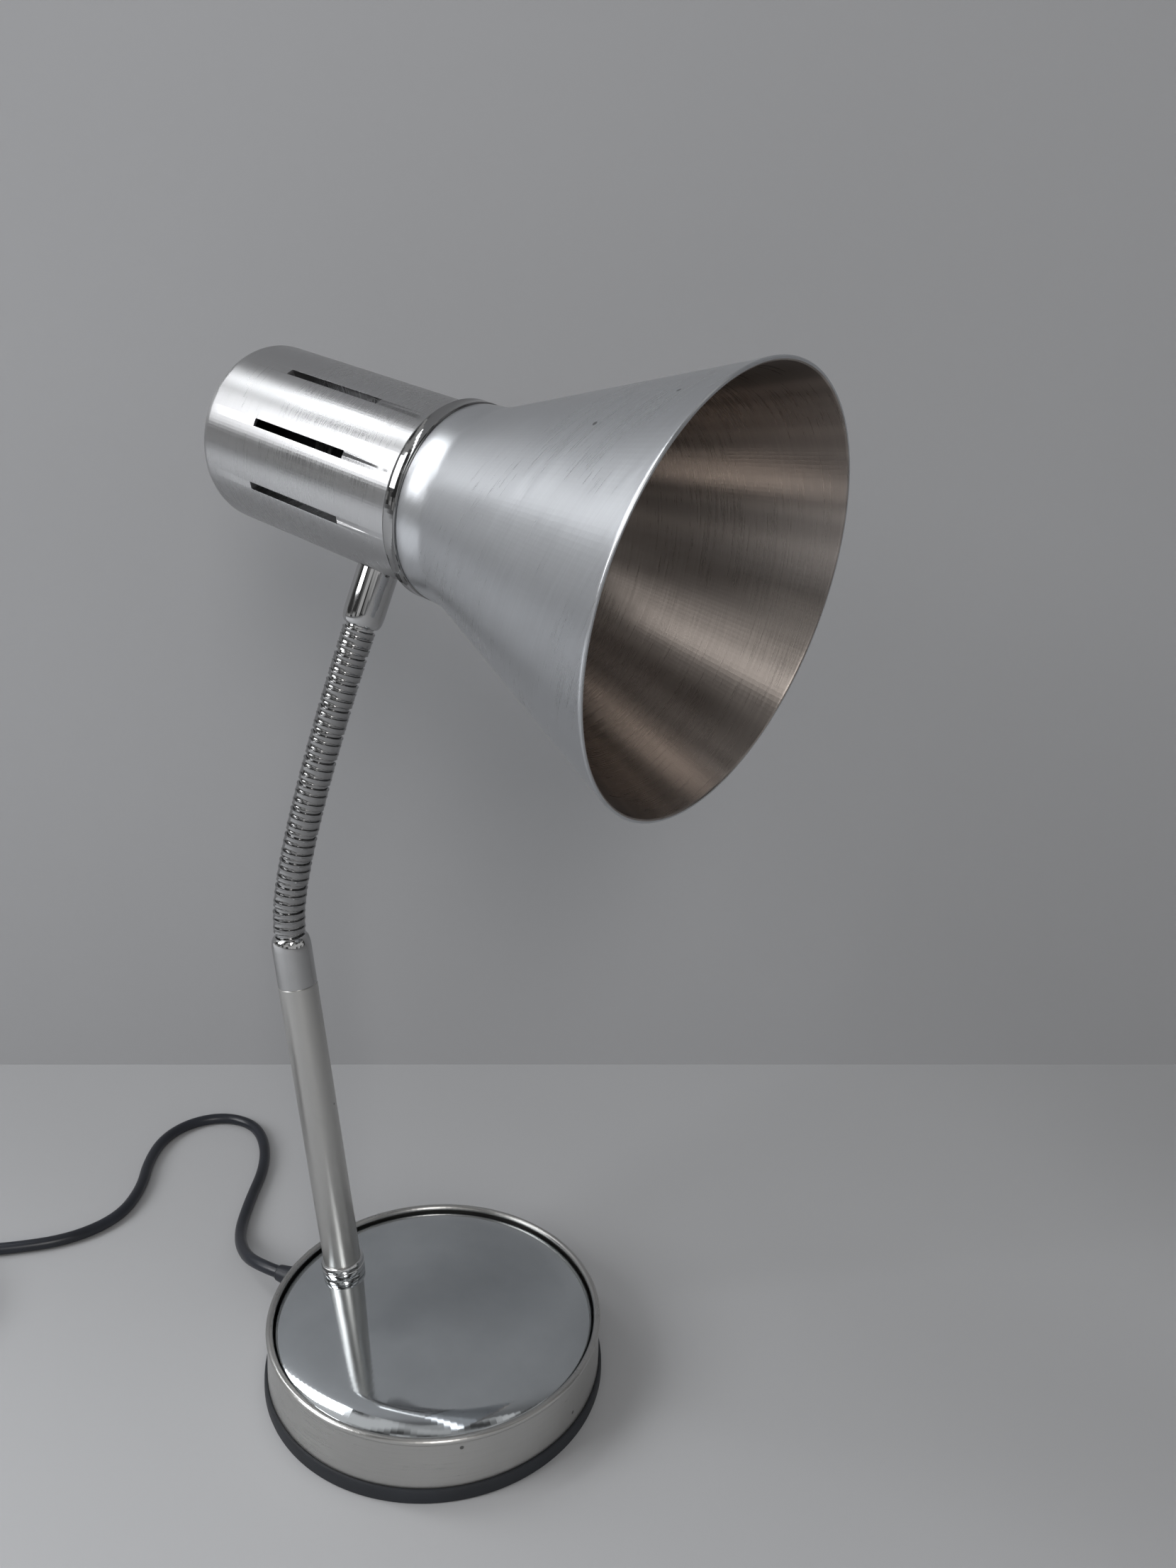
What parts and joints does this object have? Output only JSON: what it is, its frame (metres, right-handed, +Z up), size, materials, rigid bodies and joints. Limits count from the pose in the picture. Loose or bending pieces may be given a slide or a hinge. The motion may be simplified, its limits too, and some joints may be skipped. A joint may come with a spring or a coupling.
{
  "type": "gooseneck desk lamp",
  "caption": "Desk lamp with a round weighted base, a straight stem, a bendable gooseneck, a vented cylindrical housing and a conical metal shade.",
  "frame": {"origin": "centre of the underside of the round base", "axes": "+Z up, +X from the stem's foot across the base, towards the side that the shade points to; the stem's foot and the cord gland are on -X"},
  "size_m": [0.4005, 0.3055, 0.416],
  "materials": {
    "shade_aluminium": "satin with fine brushing",
    "housing_aluminium": "satin, brushed round its axis",
    "polished_steel": "mirror polish, slightly dark",
    "chrome": "bright chrome",
    "neck_chrome": "dark chrome",
    "satin_steel": "satin",
    "skirt_steel": "satin, lightly worn",
    "plate_steel": "zinc plated",
    "cast_iron": "cast",
    "rubber": "matt",
    "black_plastic": "moulded",
    "cord_plastic": "soft sheen",
    "brass": "plain",
    "lamp_glass": "frosted"
  },
  "bodies": {
    "base": {"rubber_foot": "rubber", "base_skirt": "skirt_steel", "base_dome": "polished_steel", "ballast": "cast_iron", "base_plate": "plate_steel", "base_screws": "plate_steel", "stem_tube": "satin_steel", "stem_collar": "chrome", "stem_nipple": "plate_steel", "stem_washer": "plate_steel", "stem_nut": "plate_steel", "lower_ferrule": "chrome", "cord_gland": "black_plastic", "mains_cord": "cord_plastic", "cord_coil": "cord_plastic", "cord_tie": "black_plastic", "plug_body": "black_plastic", "plug_pins": "brass"},
    "link_01": {"neck_link_01": "neck_chrome"},
    "link_02": {"neck_link_02": "neck_chrome"},
    "link_03": {"neck_link_03": "neck_chrome"},
    "link_04": {"neck_link_04": "neck_chrome"},
    "link_05": {"neck_link_05": "neck_chrome"},
    "link_06": {"neck_link_06": "neck_chrome"},
    "link_07": {"neck_link_07": "neck_chrome"},
    "link_08": {"neck_link_08": "neck_chrome"},
    "link_09": {"neck_link_09": "neck_chrome"},
    "link_10": {"neck_link_10": "neck_chrome"},
    "link_11": {"neck_link_11": "neck_chrome"},
    "link_12": {"neck_link_12": "neck_chrome"},
    "head": {"upper_ferrule": "chrome", "ferrule_nut": "plate_steel", "lamp_housing": "housing_aluminium", "trim_ring": "chrome", "shade": "shade_aluminium", "lampholder": "black_plastic", "holder_clamp": "black_plastic", "holder_bracket": "plate_steel", "bracket_screws": "plate_steel", "bulb_cap": "brass", "bulb_glass": "lamp_glass", "switch_body": "black_plastic", "switch_nut": "chrome"},
    "button": {"switch_button": "black_plastic"}
  },
  "joints": [
    {"name": "bend_fore_00", "type": "hinge", "parent": "base", "child": "link_01", "pos_m": [-0.06968, 0, 0.18729], "axis": [0, 1, 0], "range_deg": [-8, 5.2]},
    {"name": "bend_side_01", "type": "hinge", "parent": "link_01", "child": "link_02", "pos_m": [-0.06998, 0.00063, 0.19798], "axis": [0.9989, 0, -0.047], "range_deg": [-8, 8]},
    {"name": "bend_fore_02", "type": "hinge", "parent": "link_02", "child": "link_03", "pos_m": [-0.06907, 0.00186, 0.20866], "axis": [-0.0145, 0.9918, -0.1272], "range_deg": [-8, 8]},
    {"name": "bend_side_03", "type": "hinge", "parent": "link_03", "child": "link_04", "pos_m": [-0.06767, 0.00333, 0.21916], "axis": [0.9888, 0, -0.1491], "range_deg": [-8, 8]},
    {"name": "bend_fore_04", "type": "hinge", "parent": "link_04", "child": "link_05", "pos_m": [-0.06592, 0.005, 0.22984], "axis": [-0.0272, 0.9875, -0.1555], "range_deg": [-8, 8]},
    {"name": "bend_side_05", "type": "hinge", "parent": "link_05", "child": "link_06", "pos_m": [-0.06404, 0.0067, 0.24004], "axis": [0.982, 0, -0.1886], "range_deg": [-8, 8]},
    {"name": "bend_fore_06", "type": "hinge", "parent": "link_06", "child": "link_07", "pos_m": [-0.06196, 0.00854, 0.25048], "axis": [-0.035, 0.9847, -0.1704], "range_deg": [-8, 8]},
    {"name": "bend_side_07", "type": "hinge", "parent": "link_07", "child": "link_08", "pos_m": [-0.05976, 0.01047, 0.26094], "axis": [0.9775, 0, -0.211], "range_deg": [-8, 8]},
    {"name": "bend_fore_08", "type": "hinge", "parent": "link_08", "child": "link_09", "pos_m": [-0.05749, 0.01244, 0.27123], "axis": [-0.0408, 0.9824, -0.1821], "range_deg": [-8, 8]},
    {"name": "bend_side_09", "type": "hinge", "parent": "link_09", "child": "link_10", "pos_m": [-0.05513, 0.01449, 0.2816], "axis": [0.9743, 0, -0.2252], "range_deg": [-8, 8]},
    {"name": "bend_fore_10", "type": "hinge", "parent": "link_10", "child": "link_11", "pos_m": [-0.05276, 0.01658, 0.29175], "axis": [-0.046, 0.9798, -0.1946], "range_deg": [-8, 8]},
    {"name": "bend_side_11", "type": "hinge", "parent": "link_11", "child": "link_12", "pos_m": [-0.0503, 0.01879, 0.30204], "axis": [0.9725, 0, -0.2331], "range_deg": [-8, 8]},
    {"name": "bend_fore_12", "type": "hinge", "parent": "link_12", "child": "head", "pos_m": [-0.04784, 0.02113, 0.3123], "axis": [-0.0525, 0.974, -0.2202], "range_deg": [-8, 8]},
    {"name": "switch_press", "type": "slide", "parent": "head", "child": "button", "axis": [0.963, -0.1982, -0.1824], "range_m": [0, 0.0025], "stiffness_N_per_m": 600, "springref_m": -0.001}
  ]
}
